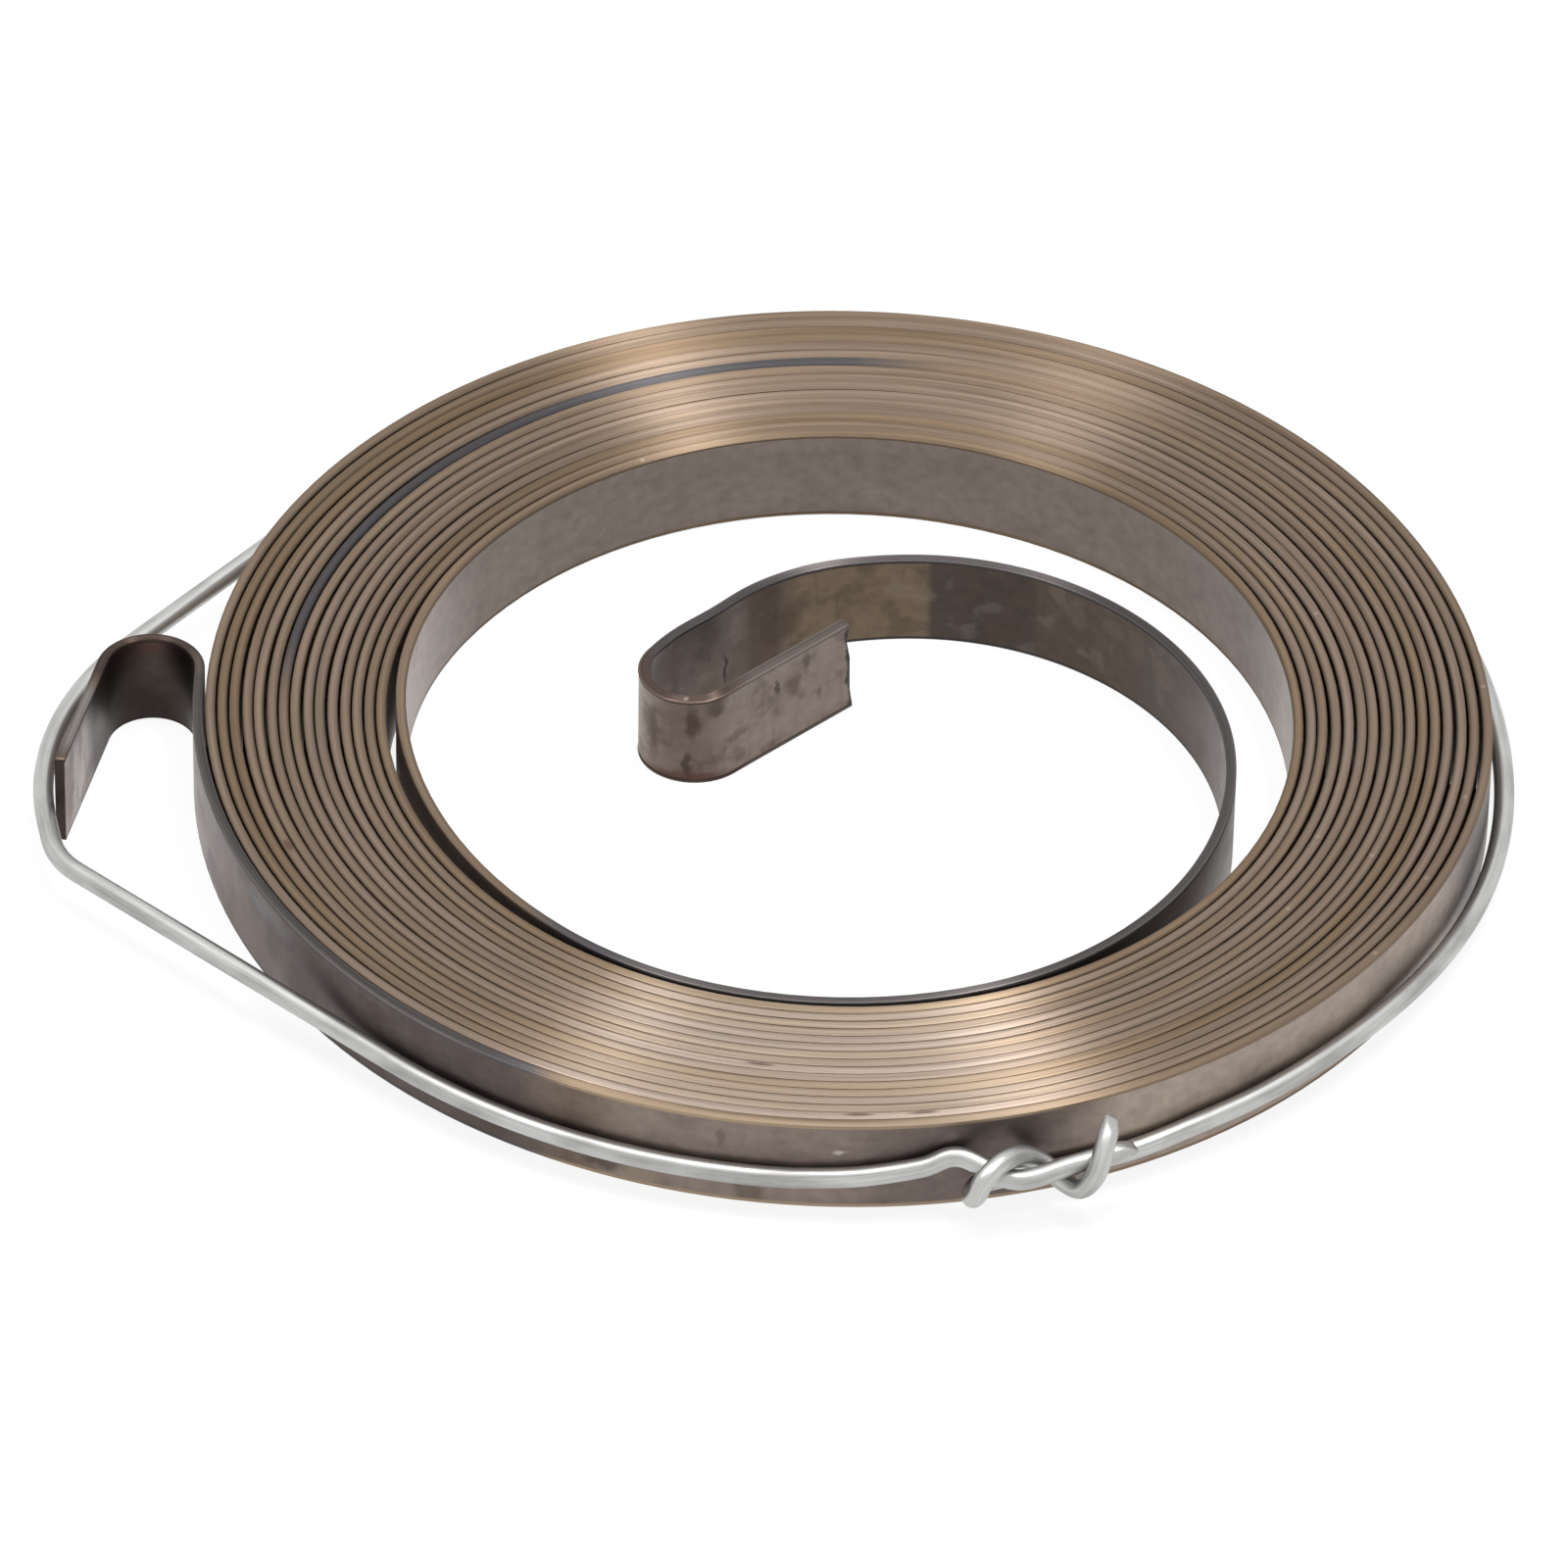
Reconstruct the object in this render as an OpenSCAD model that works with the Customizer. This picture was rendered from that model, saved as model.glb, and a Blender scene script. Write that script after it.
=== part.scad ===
/* [Strip] */
// Thickness of the spring steel strip
strip_t = 0.6; // [0.4:0.05:1]
// Width of the strip, which is the height of the wound coil
strip_w = 6; // [4:0.5:12]

/* [Coil] */
// Outside radius of the coil, where the outer hook leaves it
coil_r = 38.2; // [35:0.1:45]
// Turns wound on the coil before the inner turn springs free
turns = 16; // [12:1:18]
// Gap between neighbouring turns at the front, where they crowd together
turn_gap = 0.06; // [0.02:0.01:0.12]
// How much wider than that the gap is on the sides of the coil
lean = 0.06; // [0:0.01:0.1]

/* [Outer hook] */
// Straight lead from the coil to the hook's bend
hook_lead = 1.6; // [0.5:0.1:4]
// Inside radius of the hook's bend
hook_r = 2.6; // [1.5:0.1:3]
// Angle of the hook's bend
hook_angle = 168; // [150:1:180]
// Length of the hook's free leg
hook_leg = 9.6; // [6:0.1:12]

/* [Inner end] */
// Angle past the back of the coil at which the inner turn springs free
free_from = 60; // [30:1:80]
// Radius that the strip loses where it springs free and where it lands again
spring_dr = 2.7; // [1.5:0.1:3]
// Angle of the bend that springs the inner turn free
spring_angle = 31; // [25:1:35]
// Radius that the strip gains between those two bends
relax_dr = 2.4; // [1.5:0.1:2.6]
// Angle of the relaxed stretch between them
relax_angle = 48; // [44:1:52]
// Angle of the bend that lands the strip back beside the coil
land_angle = 21.5; // [15:0.5:30]
// Radius that the strip loses along the front, where it lies beside the coil
front_dr = 1.3; // [0.8:0.1:2]
// Angle of that front stretch
front_angle = 39.5; // [30:0.5:45]
// Radius of the tail's first bend, which leaves the coil
tail_r1 = 21.6; // [20:0.1:23]
// Angle of the tail's first bend
tail_a1 = 74; // [65:0.5:80]
// Radius of the tail's second bend
tail_r2 = 18.9; // [17:0.1:20]
// Angle of the tail's second bend
tail_a2 = 55; // [45:0.5:60]
// Radius of the tail's third bend
tail_r3 = 17.6; // [16:0.1:19]
// Angle of the tail's third bend
tail_a3 = 94; // [85:0.5:100]
// Inside radius of the hairpin that takes the reel's lug
hairpin_r = 2.6; // [1.5:0.1:3]
// Angle of the hairpin
hairpin_angle = 160.5; // [150:0.5:170]
// Length of the hairpin's free leg
hairpin_leg = 9.4; // [6:0.1:10]

/* [Tie wire] */
// Diameter of the tie wire
wire_d = 1.2; // [0.8:0.05:1.4]
// Gap between the tie wire and the strip it is drawn against
wire_gap = 0.06; // [0.04:0.01:0.2]
// Height of the wire's centre on the coil's front, left and back
wire_z = 2.6; // [2.2:0.1:3.2]
// How far the wire droops on the coil's right side
wire_droop = 0.75; // [0:0.05:0.9]
// How far the wire stands away from the coil there
wire_bulge = 0.5; // [0:0.05:1]
// Radius of the wire's sweep along the outer hook's free leg
leg_sweep_r = 20; // [18:0.5:22]
// Length of the wire's straight run past the hook's tip
corner_run = 3; // [1.5:0.1:5]
// Radius of the corner at the end of that run
corner_r = 3; // [2:0.1:4.5]
// Angle round the coil at which the wire's two ends are twisted together
twist_from = -80; // [-85:1:-75]
// Height of the middle of the twist
twist_z = 3.65; // [3.4:0.05:4]

/* [Hidden] */
$fn = 128;

// Each turn is two half circles. The strip steps inwards at the front and at the back of each turn,
// a little more at the front, so the turns' centres creep forwards and the turns crowd there.
pitch = strip_t + turn_gap + lean;
front_step = (pitch + lean) / 2;
coil_mid_r = coil_r - strip_t / 2;
inner_r = coil_mid_r - turns * pitch;
coil_start = [-coil_mid_r, front_step / 2];

// A bend is [radius, angle] and turns left, and a straight is [0, length].
hook_steps = [[0, hook_lead], [hook_r + strip_t / 2, hook_angle], [0, hook_leg]];
coil_steps = [
  [coil_mid_r, 90],
  for (turn = [1 : turns])
    for (half = [0, 1])
      half == 0 ? [coil_mid_r - (turn - 1) * pitch - front_step, 180]
                : [coil_mid_r - turn * pitch, turn < turns ? 180 : free_from]
];
tail_steps = [
  [inner_r - spring_dr, spring_angle],
  [inner_r + relax_dr, relax_angle],
  [inner_r - spring_dr, land_angle],
  [inner_r - front_dr, front_angle],
  [tail_r1, tail_a1],
  [tail_r2, tail_a2],
  [tail_r3, tail_a3],
  [hairpin_r + strip_t / 2, hairpin_angle],
  [0, hairpin_leg]
];

// A pose on the strip's centreline is [x, y, heading].
function forward(h) = [cos(h), sin(h)];
function leftward(h) = [-sin(h), cos(h)];
function spot(pose) = [pose[0], pose[1]];
function bend_centre(pose, r) = spot(pose) + r * leftward(pose[2]);
function bend_end(pose, r, angle) =
  let (h = pose[2] + angle, p = bend_centre(pose, r) - r * leftward(h))
  [p[0], p[1], h];
function straight_end(pose, length) =
  let (p = spot(pose) + length * forward(pose[2]))
  [p[0], p[1], pose[2]];
function step_end(pose, step) =
  step[0] == 0 ? straight_end(pose, step[1]) : bend_end(pose, step[0], step[1]);
function poses(pose, steps, i = 0) =
  i == len(steps) ? [pose] : concat([pose], poses(step_end(pose, steps[i]), steps, i + 1));

hook_poses = poses([coil_start[0], coil_start[1], 90], hook_steps);
coil_poses = poses([coil_start[0], coil_start[1], -90], coil_steps);
tail_poses = poses(coil_poses[len(coil_steps)], tail_steps);
lap_length = 0.1;
lap_inset = 0.005;

// One straight or bend of the strip. A lap carries it past both ends, into its neighbours,
// where it is a hair smaller all round than they are, so that they join as one solid.
module strip_step(pose, step, lap) {
  inset = lap > 0 ? lap_inset : 0;
  t = strip_t - 2 * inset;
  w = strip_w - 2 * inset;
  if (step[0] == 0)
    translate([pose[0], pose[1], 0])
      rotate([0, 0, pose[2]])
        translate([-lap, -t / 2, inset]) cube([step[1] + 2 * lap, t, w]);
  else
    let (lap_angle = lap / step[0] * 180 / PI)
      translate(concat(bend_centre(pose, step[0]), [0]))
        rotate([0, 0, pose[2] - 90 - lap_angle])
          rotate_extrude(angle = step[1] + 2 * lap_angle)
            translate([step[0] - t / 2, inset]) square([t, w]);
}

// Every second step of the hook and of the tail laps into its neighbours.
module lapped_steps(starts, steps) {
  for (i = [0 : len(steps) - 1]) strip_step(starts[i], steps[i], i % 2 == 0 ? lap_length : 0);
}

module spring_strip() {
  color("#8c785f")
    union() {
      lapped_steps(hook_poses, hook_steps);
      for (i = [0 : len(coil_steps) - 1]) strip_step(coil_poses[i], coil_steps[i], 0);
      lapped_steps(tail_poses, tail_steps);
    }
}

// The wire is drawn against the outermost turn, whose left, right and back stretches have their own centres.
wire_r = wire_d / 2;
wire_off = wire_gap + wire_r;
left_c = [0, front_step / 2];
left_r = coil_r + wire_off;
right_c = [0, -front_step / 2];
right_r = left_r - front_step;
back_c = [0, front_step / 2 - lean];
back_r = left_r - pitch;

// On the left the wire sweeps round the outer hook's free leg, touches its tip and turns a corner past it.
tip_pose = hook_poses[len(hook_poses) - 1];
tip_out = spot(tip_pose) - strip_t / 2 * leftward(tip_pose[2]);
sweep_lift = 2.5;
sweep_end = 192;
sweep_c = tip_out + [sqrt(pow(leg_sweep_r - wire_off, 2) - pow(sweep_lift, 2)), sweep_lift];
corner_c = sweep_c + (leg_sweep_r - corner_r) * forward(sweep_end) + corner_run * leftward(sweep_end);

// Angle, on both circles, of the straight run that joins them on their outer sides
function run_angle(c1, r1, c2, r2) =
  let (d = c2 - c1) atan2(d[1], d[0]) - acos((r1 - r2) / norm(d)) + 360;
back_angle = run_angle(back_c, back_r, sweep_c, leg_sweep_r);
corner_angle = run_angle(corner_c, corner_r, left_c, left_r);

// The twist lies outside the wire's own right-hand run. Each spot of a strand is how far along the coil
// it is from the twist's start, how far out from the wire's seat and how far above the twist's middle,
// all in wire diameters. The first strand comes from the left. The second comes from the right behind it,
// turns back on itself, winds round it and ends in an upright cut tip.
first_strand = [
  [8.4, 1.55, 0.25], [5.4, 1.55, 0.08], [2.67, 1.5, -0.25], [0.33, 0.08, 0.35], [-1.5, 0, -0.2],
  [-4.5, 0, -0.65], [-7.5, 0, -0.85]
];
second_strand = [
  [13, 0, -1.15], [9, 0, -1.38], [5, 0, -1.38], [2.6, 0, -1.35], [1.3, 0.3, -1.3], [0.8, 0.95, -1.2],
  [0.7, 1.7, -0.85], [0.8, 2.25, -0.1], [1.1, 2.2, 0.65], [2.05, 1.5, 0.95], [3.2, 0.7, 0.5],
  [4.2, 0.5, -0.35], [5, 1.25, -1.05], [5.6, 2.1, -1], [6.1, 2.6, 0.2], [6.7, 2, 1.3], [7.4, 1, 2]
];

function on_circle(c, r, a, z) = [c[0] + r * cos(a), c[1] + r * sin(a), z];
function on_twist(p) =
  on_circle(right_c, right_r + p[1] * wire_d, twist_from + p[0] * wire_d / right_r * 180 / PI,
            twist_z + p[2] * wire_d);
function places(strand) = [for (p = strand) on_twist(p)];

// A smooth curve through a list of points
function curve_point(a, b, c, d, t) =
  0.5 * (2 * b + (c - a) * t + (2 * a - 5 * b + 4 * c - d) * t * t + (3 * b - a - 3 * c + d) * t * t * t);
function smooth(p, n) =
  let (last = len(p) - 1)
  [for (i = [0 : last - 1], k = [0 : n - 1])
     curve_point(p[max(i - 1, 0)], p[i], p[i + 1], p[min(i + 2, last)], k / n),
   p[last]];

// On the right the wire sinks to the height of the second strand, and droops and bulges most at sag_at.
back_end = 90;
right_end = -54;
sag_at = -10;
sag_span = 36;
function sag(a) = abs(a - sag_at) < sag_span ? pow(cos(90 * (a - sag_at) / sag_span), 2) : 0;
function right_z(a) =
  wire_z + (twist_z + second_strand[0][2] * wire_d - wire_z) * (back_end - a) / (back_end - right_end);
function along(c, r, from, to, step) =
  let (n = ceil(abs(to - from) / step))
  [for (i = [0 : n]) on_circle(c, r, from + (to - from) * i / n, wire_z)];
coil_turn = 4;
sweep_turn = 7;
corner_turn = 12;
strand_cuts = 4;
front_start = -96;

wire_route = concat(
  smooth(places(first_strand), strand_cuts),
  along(left_c, left_r, front_start + 360, corner_angle, coil_turn),
  along(corner_c, corner_r, corner_angle, sweep_end, corner_turn),
  along(sweep_c, leg_sweep_r, sweep_end, back_angle, sweep_turn),
  along(back_c, back_r, back_angle, back_end + coil_turn, coil_turn),
  [for (a = [back_end : -coil_turn : right_end])
     on_circle(right_c, right_r + wire_bulge * sag(a), a, right_z(a) - wire_droop * sag(a))],
  smooth(places(second_strand), strand_cuts)
);

// A round tube swept along a list of points, each ring square to the route
wire_sides = 8;
function unit(v) = v / norm(v);
function way_at(route, i) = unit(route[min(i + 1, len(route) - 1)] - route[max(i - 1, 0)]);
function carried(side, way) = unit(side - (side * way) * way);
function sides_along(route, side, i = 0) =
  i == len(route) ? []
  : let (s = carried(side, way_at(route, i))) concat([s], sides_along(route, s, i + 1));
module tube(route, r) {
  sides = sides_along(route, [0, 0, 1]);
  n = len(route);
  rings = [
    for (i = [0 : n - 1])
      let (up = cross(way_at(route, i), sides[i]))
      for (k = [0 : wire_sides - 1])
        let (a = 360 * k / wire_sides)
        route[i] + r * (cos(a) * sides[i] + sin(a) * up)
  ];
  function at(i, k) = i * wire_sides + k % wire_sides;
  walls = [
    for (i = [0 : n - 2], k = [0 : wire_sides - 1], half = [0, 1])
      half == 0 ? [at(i, k), at(i + 1, k), at(i + 1, k + 1)] : [at(i, k), at(i + 1, k + 1), at(i, k + 1)]
  ];
  caps = [[for (k = [0 : wire_sides - 1]) at(0, k)], [for (k = [wire_sides - 1 : -1 : 0]) at(n - 1, k)]];
  polyhedron(rings, concat(walls, caps));
}

module tie_wire() {
  color("#c5c7c7") tube(wire_route, wire_r);
}

spring_strip();
tie_wire();
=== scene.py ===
import math
import random

import bpy
import numpy as np
from mathutils import Matrix


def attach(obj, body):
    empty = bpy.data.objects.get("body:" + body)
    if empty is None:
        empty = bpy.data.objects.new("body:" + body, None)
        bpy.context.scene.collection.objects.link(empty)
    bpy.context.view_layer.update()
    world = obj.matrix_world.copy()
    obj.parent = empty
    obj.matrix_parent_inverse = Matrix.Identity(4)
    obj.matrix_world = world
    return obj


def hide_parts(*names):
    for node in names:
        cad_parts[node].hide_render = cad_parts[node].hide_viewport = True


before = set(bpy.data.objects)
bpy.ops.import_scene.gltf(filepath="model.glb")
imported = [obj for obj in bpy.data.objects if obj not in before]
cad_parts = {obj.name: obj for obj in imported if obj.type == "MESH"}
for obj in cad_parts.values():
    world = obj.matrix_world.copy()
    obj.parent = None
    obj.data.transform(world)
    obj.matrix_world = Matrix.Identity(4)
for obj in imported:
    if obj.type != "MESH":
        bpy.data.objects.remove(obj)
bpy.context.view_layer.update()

# Camera
# A long lens in front of the spring and well above it, so that the coil shows its upper edges and its inner
# wall. Distances are in metres and angles in degrees.
camera_distance = 0.768
camera_elevation = 39.464
camera_pan = 0.2561
camera_tilt = -0.0191
camera_roll = -1.2914
lens_mm = 299.15
sensor_mm = 36.0


def turn(degrees, axis):
    return Matrix.Rotation(math.radians(degrees), 4, axis)


camera_data = bpy.data.cameras.new("camera")
camera_data.lens = lens_mm
camera_data.sensor_width = sensor_mm
camera_data.clip_start = 0.01
camera = bpy.data.objects.new("camera", camera_data)
bpy.context.collection.objects.link(camera)
sight_rise = math.radians(camera_elevation)
camera_place = Matrix.Translation(
    (0, -camera_distance * math.cos(sight_rise), camera_distance * math.sin(sight_rise)))
camera_aim = turn(90 - camera_elevation, "X") @ turn(camera_pan, "Y")
camera.matrix_world = camera_place @ camera_aim @ turn(camera_tilt, "X") @ turn(-camera_roll, "Z")
bpy.context.scene.camera = camera

# Spring strip
# One length of hardened spring steel strip, slit, ground along its edges and wound into a coil. Its ends are
# softened by heat and bent into the outer hook and the inner hairpin. Sizes are in millimetres and degrees.
MM = 0.001
strip_t = 0.6
strip_w = 6.0
coil_r = 38.2
turns = 16
turn_gap = 0.06
lean = 0.06
pitch = strip_t + turn_gap + lean
front_step = (pitch + lean) / 2
coil_mid_r = coil_r - strip_t / 2
inner_r = coil_mid_r - turns * pitch
coil_start = (-coil_mid_r, front_step / 2)
spring_free_angle = 60

# A bend is (radius, angle) and turns left, and a straight is (0, length).
hook_steps = [(0, 1.6), (2.9, 168), (0, 9.6)]
coil_steps = [(coil_mid_r, 90)]
for winding in range(1, turns + 1):
    coil_steps.append((coil_mid_r - (winding - 1) * pitch - front_step, 180))
    coil_steps.append((coil_mid_r - winding * pitch, 180 if winding < turns else spring_free_angle))
hairpin_leg = 9.4
tail_steps = [
    (inner_r - 2.7, 31), (inner_r + 2.4, 48), (inner_r - 2.7, 21.5), (inner_r - 1.3, 39.5),
    (21.6, 74), (18.9, 55), (17.6, 94), (2.9, 160.5), (0, hairpin_leg),
]
tight_r = 25.0
wide_cut = 1.4
tight_cut = 0.35


def leftward(heading):
    return np.array([-math.sin(math.radians(heading)), math.cos(math.radians(heading))])


def forward(heading):
    return np.array([math.cos(math.radians(heading)), math.sin(math.radians(heading))])


def follow(x, y, heading, steps):
    """Poses (x, y, heading) along a run of bends and straights."""
    spot = np.array([x, y], float)
    poses = [(x, y, heading)]
    for radius, amount in steps:
        length = math.radians(amount) * radius if radius else amount
        cuts = max(1, round(length / (wide_cut if radius > tight_r else tight_cut)))
        for cut in range(1, cuts + 1):
            if radius:
                now = heading + amount * cut / cuts
                at = spot + radius * (leftward(heading) - leftward(now))
            else:
                now = heading
                at = spot + forward(heading) * amount * cut / cuts
            poses.append((at[0], at[1], now))
        spot = np.array(poses[-1][:2])
        heading = poses[-1][2]
    return poses


hook_poses = follow(coil_start[0], coil_start[1], 90, hook_steps)
wound_poses = follow(coil_start[0], coil_start[1], -90, coil_steps + tail_steps)
strip_poses = [(x, y, heading - 180) for x, y, heading in reversed(hook_poses[1:])] + wound_poses
hook_count = len(hook_poses) - 1
ring_total = len(strip_poses)
strip_spots = np.array([pose[:2] for pose in strip_poses])
strip_left = np.array([leftward(pose[2]) for pose in strip_poses])
along = np.concatenate([[0], np.cumsum(np.linalg.norm(np.diff(strip_spots, axis=0), axis=1))])
strip_end = along[-1]
# How far the strip has turned since it left the hook. It is negative in the hook itself.
turned = np.array([-1.0] * hook_count + [pose[2] + 90 for pose in wound_poses])
coil_turned = 90 + 360 * turns - 180 + spring_free_angle

# The turns don't lie quite evenly. Each wanders a little sideways inside its gaps and a little in height,
# and its edges are peened over slightly, so that they nearly close up at the front and gape at the sides.
wander = random.Random(11)


def drift(places, knot, low, high):
    """A smooth seeded wander between two limits, with a new aim at every knot along it."""
    aims = np.array([wander.uniform(low, high) for _ in range(int(places[-1] / knot) + 3)])
    at = np.clip(places, 0, None) / knot
    base = at.astype(int)
    ease = (at - base) ** 2 * (3 - 2 * (at - base))
    return aims[base] * (1 - ease) + aims[base + 1] * ease


at_front = np.clip(np.sin(np.radians(turned)), 0, 1) ** 2
at_back = np.clip(-np.sin(np.radians(turned)), 0, 1) ** 2
at_flank = np.cos(np.radians(turned)) ** 2
settle_angle = 40.0
wound = np.clip(np.minimum(turned, coil_turned - turned) / settle_angle, 0, 1)
turns_left = np.clip(1 - turned / coil_turned, 0, 1)
front_wander, back_wander, flank_wander = 0.004, 0.03, 0.05
wander_angle = 40.0
most_lift = 0.07
front_lift_loss = 0.6
side_room = front_wander * at_front + back_wander * at_back + flank_wander * at_flank
side_shift = wound * side_room * drift(turned, wander_angle, -1, 1)
lift = wound * (1 - front_lift_loss * at_front) * drift(turned, wander_angle, 0.0, most_lift)
inner_burr, outer_burr_gain, back_burr = 0.026, 0.007, 0.072
burr_knot, least_burr, most_burr = 9.0, 0.85, 1.06
front_burr = inner_burr + outer_burr_gain * turns_left
burr_here = front_burr * at_front + back_burr * at_back
burr = wound * burr_here * drift(along, burr_knot, least_burr, most_burr)
# On the right the first turns stand out a little under the wire, and the last ones have drawn inwards. Each
# shift is its place and its reach in degrees, and how far it moves the strip to the left.
right_shifts = [
    (170, 20, -0.28), (530, 20, -0.21), (890, 20, -0.14), (1250, 20, -0.07),
    (4860, 24, 0.09), (5220, 24, 0.09), (5580, 24, 0.09),
]
for spot, reach, shift in right_shifts:
    side_shift = side_shift + shift * np.exp(-((turned - spot) / reach) ** 2)
# Peened edges come close to those of the turns on both sides of them, and never cut into them.
least_room = 0.008
gap_here = turn_gap + lean * (1 - np.sin(np.radians(turned)))
next_shift = np.interp(turned + 360, turned[hook_count:], side_shift[hook_count:])
last_shift = np.interp(turned - 360, turned[hook_count:], side_shift[hook_count:])
room_in = gap_here + next_shift - side_shift
room_out = np.where(turned > 360, gap_here + side_shift - last_shift, room_in)
burr = np.minimum(burr, np.clip(np.minimum(room_in, room_out) - least_room, 0, None) / 2)
# The hairpin has sprung a little: it stands nearer to its own leg before the bend and wider in the bend. Each
# spring is its place before the inner end, its reach and how far it moves the strip to the left.
to_end = strip_end - along
hairpin_springs = [(30.5, 2.8, -0.11), (23.0, 2.6, 0.36), (15.5, 3.6, -0.28)]
for spot, reach, shift in hairpin_springs:
    side_shift = side_shift + shift * np.exp(-((to_end - spot) / reach) ** 2)
pin_burr, pin_burr_start, pin_burr_fade = 0.09, 18, 4
burr = burr + pin_burr * np.clip((pin_burr_start - to_end) / pin_burr_fade, 0, 1)

# The section is a slit strip with flat faces, rounded corners and an upper edge that falls a little inwards.
edge_round = 0.06
edge_cuts = 3
edge_fall = -0.09
rim_depth = 0.16
face_cuts = 6
edge_flats = (0.14, 0.0, -0.14)
half_t = strip_t / 2
section = []


def corner(side, low, start):
    """Points round a corner: across, up, side, not on a face, and the way each goes as the corner wears."""
    middle = (side * (half_t - edge_round), edge_round if low else strip_w - edge_round)
    points = []
    for cut in range(edge_cuts + 1):
        angle = math.radians(start + 90 * cut / edge_cuts)
        across = middle[0] + edge_round * math.cos(angle)
        up = middle[1] + edge_round * math.sin(angle) + (0 if low else edge_fall * across)
        round_up = math.sin(angle) + (1 if low else -1)
        points.append((across, up, side, False, math.cos(angle) - side, round_up))
    return points


face_heights = np.linspace(edge_round + rim_depth, strip_w - edge_round - rim_depth, face_cuts)
section += corner(1, True, -90)
section += [(half_t, up, 0, True, 0, 0) for up in face_heights]
section += corner(1, False, 0)
section += [(across, strip_w + edge_fall * across, 0, False, 0, 0) for across in edge_flats]
section += corner(-1, False, 90)
section += [(-half_t, up, 0, True, 0, 0) for up in reversed(face_heights)]
section += corner(-1, True, 180)
section_across = np.array([point[0] for point in section])
section_up = np.array([point[1] for point in section])
section_burr = np.array([point[2] for point in section])
section_round = np.array([point[4:] for point in section])
section_total = len(section)
stretch_is_face = [section[k][3] and section[(k + 1) % section_total][3] for k in range(section_total)]

rings = np.zeros((ring_total, section_total, 3))
shove = section_across[None, :] + side_shift[:, None] + burr[:, None] * section_burr[None, :]
# The hairpin's leg leans in at the top and the strip opposite it leans in at the bottom.
leg_top_lean, leg_lean_start, leg_lean_fade = 0.35, 13, 4
wall_foot_lean, wall_lean_spot, wall_lean_reach = 0.25, 24, 5
leg_lean = leg_top_lean * np.clip((leg_lean_start - to_end) / leg_lean_fade, 0, 1)
wall_lean = wall_foot_lean * np.exp(-((to_end - wall_lean_spot) / wall_lean_reach) ** 2)
shove = shove + leg_lean[:, None] * section_up / strip_w + wall_lean[:, None] * (1 - section_up / strip_w)
# The corners are worn round at the sides of the coil and stay sharp where the turns press on each other.
inner_press, outer_press_gain, back_press = 0.6, 0.4, 0.6
flank_wear, press_sharpening = 0.055, 0.052
pressed = wound * (at_front * (inner_press + outer_press_gain * turns_left) + back_press * at_back)
worn_round = wound * (flank_wear * (1 - pressed) - press_sharpening * pressed)
shove = shove + worn_round[:, None] * section_round[None, :, 0]
rings[:, :, :2] = strip_spots[:, None, :] + strip_left[:, None, :] * shove[:, :, None]
rings[:, :, 2] = section_up[None, :] + lift[:, None] + worn_round[:, None] * section_round[None, :, 1]
# The hairpin's end was sheared off and is slightly ragged, in two waves: each a depth, a pace and a start.
ragged_waves = [(0.10, 2.3, 0.6), (0.06, 6.1, 0.0)]
ragged = sum(depth * np.sin(pace * section_up + start) for depth, pace, start in ragged_waves)
rings[-1, :, :2] += forward(strip_poses[-1][2])[None, :] * ragged[:, None]


def tube_faces(total, sides):
    """Faces of a tube of rings, each ring running round to the left of its heading, with both ends closed."""
    faces = []
    for i in range(total - 1):
        for k in range(sides):
            a, b = i * sides + k, i * sides + (k + 1) % sides
            faces.append((a, b, b + sides, a + sides))
    faces.append(tuple(reversed(range(sides))))
    faces.append(tuple(range((total - 1) * sides, total * sides)))
    return faces


def lay_flat(mesh, length, girth, rows):
    """A flat map of a long tube: rows of its length, each as high as its girth, with its ends beside them."""
    row_length = length[-1] / rows
    row = np.minimum(((length[:-1] + length[1:]) / 2 / row_length).astype(int), rows - 1)
    row_start = np.array([length[np.argmax(row == r)] for r in range(rows)])
    row_fill, row_margin = 0.96, 0.04
    near = (length[:-1] - row_start[row]) / row_length * row_fill
    far = (length[1:] - row_start[row]) / row_length * row_fill
    rise = row_margin + (1 - 2 * row_margin) * girth / girth[-1]
    sides = len(girth) - 1
    flat = np.zeros((len(row), sides, 4, 2))
    flat[:, :, :2, 0] = near[:, None, None]
    flat[:, :, 2:, 0] = far[:, None, None]
    flat[:, :, 0, 1] = flat[:, :, 3, 1] = (row[:, None] + rise[None, :-1]) / rows
    flat[:, :, 1, 1] = flat[:, :, 2, 1] = (row[:, None] + rise[None, 1:]) / rows
    circle = np.linspace(0, 2 * math.pi, sides, endpoint=False)
    cap_at, cap_wide, cap_high = 0.99, 0.008, 0.4
    cap = np.stack([cap_at + cap_wide * np.cos(circle), (0.5 + cap_high * np.sin(circle)) / rows], 1)
    first_cap, last_cap = cap[::-1], cap + [0, 1 / rows]
    flat_map = mesh.uv_layers.new(name="OFBake")
    flat_map.uv.foreach_set("vector", np.concatenate([flat.ravel(), first_cap.ravel(), last_cap.ravel()]))


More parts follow.
